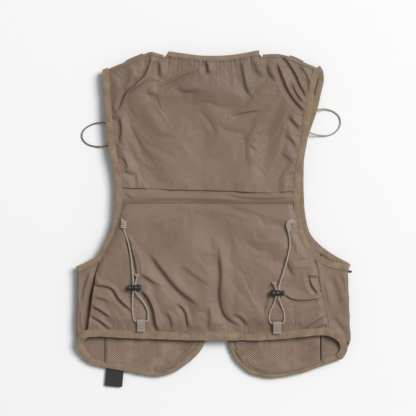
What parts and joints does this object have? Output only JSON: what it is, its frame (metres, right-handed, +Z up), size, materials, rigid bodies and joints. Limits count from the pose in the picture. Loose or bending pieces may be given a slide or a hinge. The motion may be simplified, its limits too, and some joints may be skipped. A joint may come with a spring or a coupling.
{
  "type": "fishing vest",
  "caption": "Light fishing vest laid flat, back up, with a rear pouch, bound armholes, mesh-lined fronts, side drawcords with cord locks, and elastic loops at the armholes.",
  "frame": {"origin": "on the surface the vest lies on, under the middle of its outline", "axes": "+X to the right with the back facing up, +Y towards the collar, +Z up out of the back"},
  "size_m": [0.5215, 0.6374, 0.0394],
  "materials": {
    "shell_fabric": "matt, fine plain weave, taupe",
    "mesh_lining": "matt open warp-knit mesh, taupe",
    "binding_tape": "matt ribbed binding tape, olive tan",
    "cord": "matt braided elastic cord, pale taupe",
    "grey_webbing": "matt woven tape, pale grey-beige",
    "dark_webbing": "matt woven webbing, near black",
    "black_plastic": "satin moulded acetal, black",
    "steel": "plain spring wire",
    "dark_metal": "semi-gloss painted zinc, dark grey"
  },
  "bodies": {
    "vest": {"back_yoke": "shell_fabric", "pouch_mouth_facing": "shell_fabric", "rear_pouch_panel": "shell_fabric", "back_mesh_lining": "mesh_lining", "front_panel_left": "shell_fabric", "front_mesh_lining_left": "mesh_lining", "side_panel_left": "shell_fabric", "armhole_binding_left": "binding_tape", "front_panel_right": "shell_fabric", "front_mesh_lining_right": "mesh_lining", "side_panel_right": "shell_fabric", "armhole_binding_right": "binding_tape", "neck_binding": "binding_tape", "hem_binding": "binding_tape", "front_edge_binding_left": "binding_tape", "zip_tape_left": "shell_fabric", "zip_teeth_left": "dark_webbing", "front_edge_binding_right": "binding_tape", "zip_tape_right": "shell_fabric", "zip_teeth_right": "dark_webbing", "zip_bottom_box": "dark_metal", "lower_pocket_left": "shell_fabric", "chest_pocket_left": "shell_fabric", "pocket_zip_left": "dark_webbing", "lower_pocket_right": "shell_fabric", "chest_pocket_right": "shell_fabric", "pocket_zip_right": "dark_webbing", "drawcord_upper_left": "cord", "drawcord_loop_left": "cord", "hem_cord_tab_left": "grey_webbing", "cord_anchor_left": "grey_webbing", "chest_elastic_loop_left": "cord", "shoulder_webbing_left": "shell_fabric", "drawcord_upper_right": "cord", "drawcord_loop_right": "cord", "hem_cord_tab_right": "grey_webbing", "cord_anchor_right": "grey_webbing", "chest_elastic_loop_right": "cord", "shoulder_webbing_right": "shell_fabric", "hem_webbing_tab": "dark_webbing"},
    "cord_lock_left": {"cord_lock_housing_left": "black_plastic", "cord_lock_spring_left": "steel", "cord_end_knot_left": "cord"},
    "lock_button_left": {"cord_lock_button_left": "black_plastic"},
    "cord_lock_right": {"cord_lock_housing_right": "black_plastic", "cord_lock_spring_right": "steel", "cord_end_knot_right": "cord"},
    "lock_button_right": {"cord_lock_button_right": "black_plastic"},
    "front_slider": {"front_zip_slider": "dark_metal"},
    "front_pull": {"front_zip_pull": "dark_webbing"},
    "pocket_slider_left": {"pocket_zip_slider_left": "dark_metal"},
    "pocket_pull_left": {"pocket_zip_pull_left": "dark_webbing"},
    "pocket_slider_right": {"pocket_zip_slider_right": "dark_metal"},
    "pocket_pull_right": {"pocket_zip_pull_right": "dark_webbing"}
  },
  "joints": [
    {"name": "lock_slide_left", "type": "slide", "parent": "vest", "child": "cord_lock_left", "axis": [-0.074, 0.9973, 0], "range_m": [-0.035, 0.055], "deforming": ["drawcord_upper_left", "drawcord_loop_left"]},
    {"name": "lock_press_left", "type": "slide", "parent": "cord_lock_left", "child": "lock_button_left", "axis": [1, 0, 0], "range_m": [0, 0.003], "stiffness_N_per_m": 900, "deforming": ["cord_lock_spring_left"]},
    {"name": "lock_slide_right", "type": "slide", "parent": "vest", "child": "cord_lock_right", "axis": [0.237, 0.9715, 0], "range_m": [-0.035, 0.055], "deforming": ["drawcord_upper_right", "drawcord_loop_right"]},
    {"name": "lock_press_right", "type": "slide", "parent": "cord_lock_right", "child": "lock_button_right", "axis": [-1, 0, 0], "range_m": [0, 0.003], "stiffness_N_per_m": 900, "deforming": ["cord_lock_spring_right"]},
    {"name": "front_zip_slide", "type": "slide", "parent": "vest", "child": "front_slider", "axis": [0, 1, 0], "range_m": [-0.36, 0]},
    {"name": "front_pull_swing", "type": "hinge", "parent": "front_slider", "child": "front_pull", "pos_m": [0.0105, 0.195, 0.0036], "axis": [1, 0, 0], "range_deg": [0, 170]},
    {"name": "pocket_zip_slide_left", "type": "slide", "parent": "vest", "child": "pocket_slider_left", "axis": [1, 0, 0], "range_m": [0, 0.15]},
    {"name": "pocket_pull_swing_left", "type": "hinge", "parent": "pocket_slider_left", "child": "pocket_pull_left", "pos_m": [-0.219, -0.0997, 0.0015], "axis": [0, 1, 0], "range_deg": [0, 170]},
    {"name": "pocket_zip_slide_right", "type": "slide", "parent": "vest", "child": "pocket_slider_right", "axis": [1, 0, 0], "range_m": [-0.15, 0]},
    {"name": "pocket_pull_swing_right", "type": "hinge", "parent": "pocket_slider_right", "child": "pocket_pull_right", "pos_m": [0.219, -0.0997, 0.0015], "axis": [0, 1, 0], "range_deg": [0, 170]}
  ]
}
